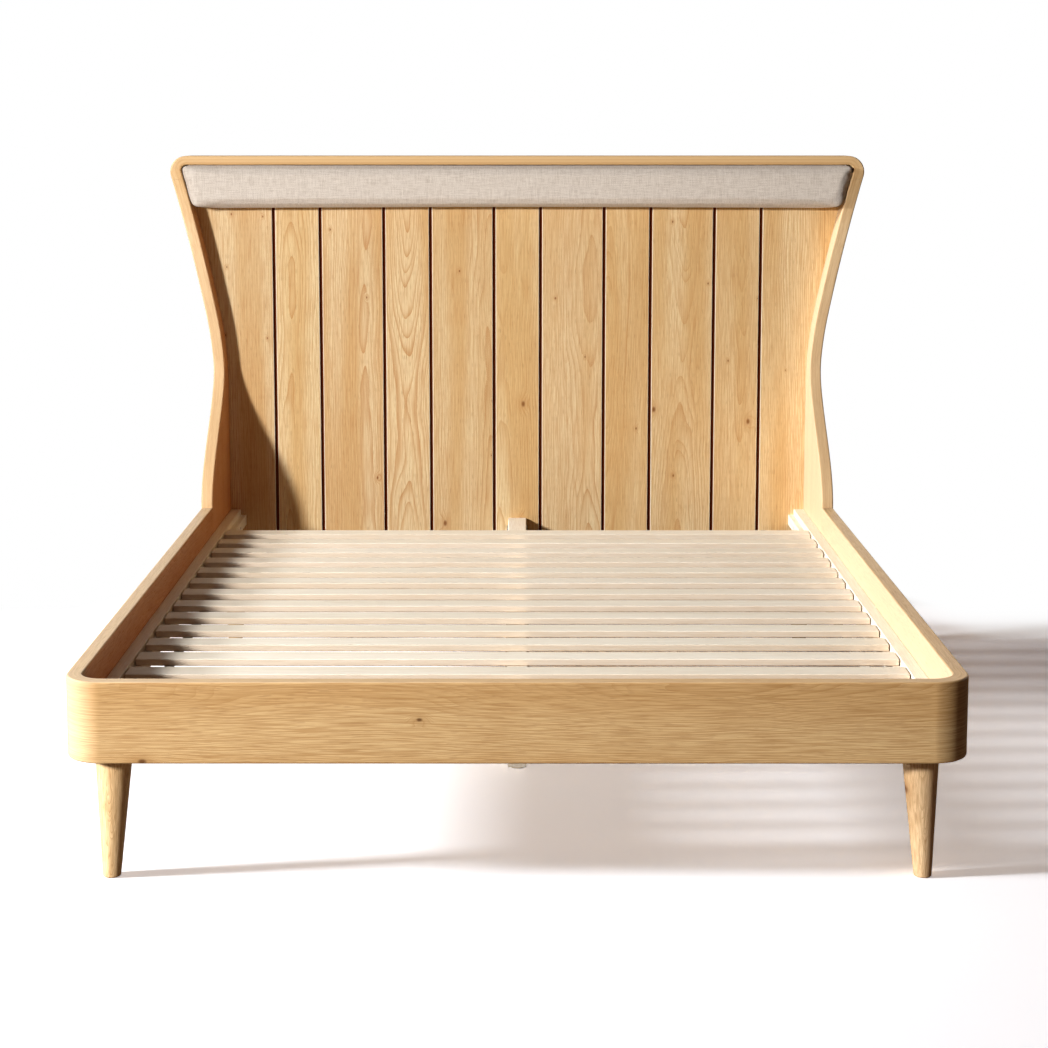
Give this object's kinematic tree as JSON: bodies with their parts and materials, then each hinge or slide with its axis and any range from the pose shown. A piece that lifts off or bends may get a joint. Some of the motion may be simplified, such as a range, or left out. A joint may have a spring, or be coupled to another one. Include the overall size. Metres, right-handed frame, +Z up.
{
  "type": "slatted bed frame with winged headboard",
  "caption": "Double bed frame with a swept plank headboard, a padded head cushion, a lift-out slatted deck and tapered legs.",
  "frame": {"origin": "on the floor, at the middle of the bed's width and length", "axes": "+X to the right of a person at the foot who faces the headboard, +Y from the foot to the head, +Z up"},
  "size_m": [1.8498, 2.1222, 1.285],
  "materials": {
    "oak": "light oak, satin oil",
    "pine": "planed pale wood, unfinished",
    "plywood": "plywood, unfinished",
    "linen": "grey-beige linen weave",
    "webbing": "woven tape",
    "steel": "zinc-plated",
    "nylon": "black nylon"
  },
  "bodies": {
    "bed_frame": {"foot_rail": "oak", "side_rail_left": "oak", "side_rail_right": "oak", "side_panel_left": "oak", "side_panel_right": "oak", "headboard_top_band": "oak", "headboard_plank_1": "oak", "headboard_plank_2": "oak", "headboard_plank_3": "oak", "headboard_plank_4": "oak", "headboard_plank_5": "oak", "headboard_plank_6": "oak", "headboard_plank_7": "oak", "headboard_plank_8": "oak", "headboard_plank_9": "oak", "headboard_plank_10": "oak", "headboard_plank_11": "oak", "headboard_sill": "pine", "middle_batten": "pine", "upper_batten": "pine", "headboard_cushion": "linen", "cushion_backboard": "plywood", "slat_cleat_left": "pine", "slat_cleat_right": "pine", "centre_beam": "pine", "beam_strip": "pine", "beam_hanger_foot": "steel", "beam_hanger_head": "steel", "centre_leg_front": "pine", "centre_leg_rear": "pine", "front_leg_block_left": "pine", "front_leg_block_right": "pine", "rear_leg_block_left": "pine", "rear_leg_block_right": "pine", "front_leg_left": "oak", "front_leg_right": "oak", "rear_leg_left": "oak", "rear_leg_right": "oak", "rail_plate_left": "steel", "rail_plate_right": "steel"},
    "slat_deck": {"slat_1": "pine", "slat_2": "pine", "slat_3": "pine", "slat_4": "pine", "slat_5": "pine", "slat_6": "pine", "slat_7": "pine", "slat_8": "pine", "slat_9": "pine", "slat_10": "pine", "slat_11": "pine", "slat_12": "pine", "slat_13": "pine", "slat_14": "pine", "slat_15": "pine", "slat_webbing_left": "webbing", "slat_webbing_right": "webbing"},
    "front_levelling_foot": {"levelling_foot_front": "nylon"},
    "rear_levelling_foot": {"levelling_foot_rear": "nylon"}
  },
  "joints": [
    {"name": "slat_deck_lift", "type": "slide", "parent": "bed_frame", "child": "slat_deck", "axis": [0, 0, 1], "range_m": [0, 0.25]},
    {"name": "levelling_foot_front_screw", "type": "slide", "parent": "bed_frame", "child": "front_levelling_foot", "axis": [0, 0, -1], "range_m": [0, 0.012]},
    {"name": "levelling_foot_rear_screw", "type": "slide", "parent": "bed_frame", "child": "rear_levelling_foot", "axis": [0, 0, -1], "range_m": [0, 0.012]}
  ]
}
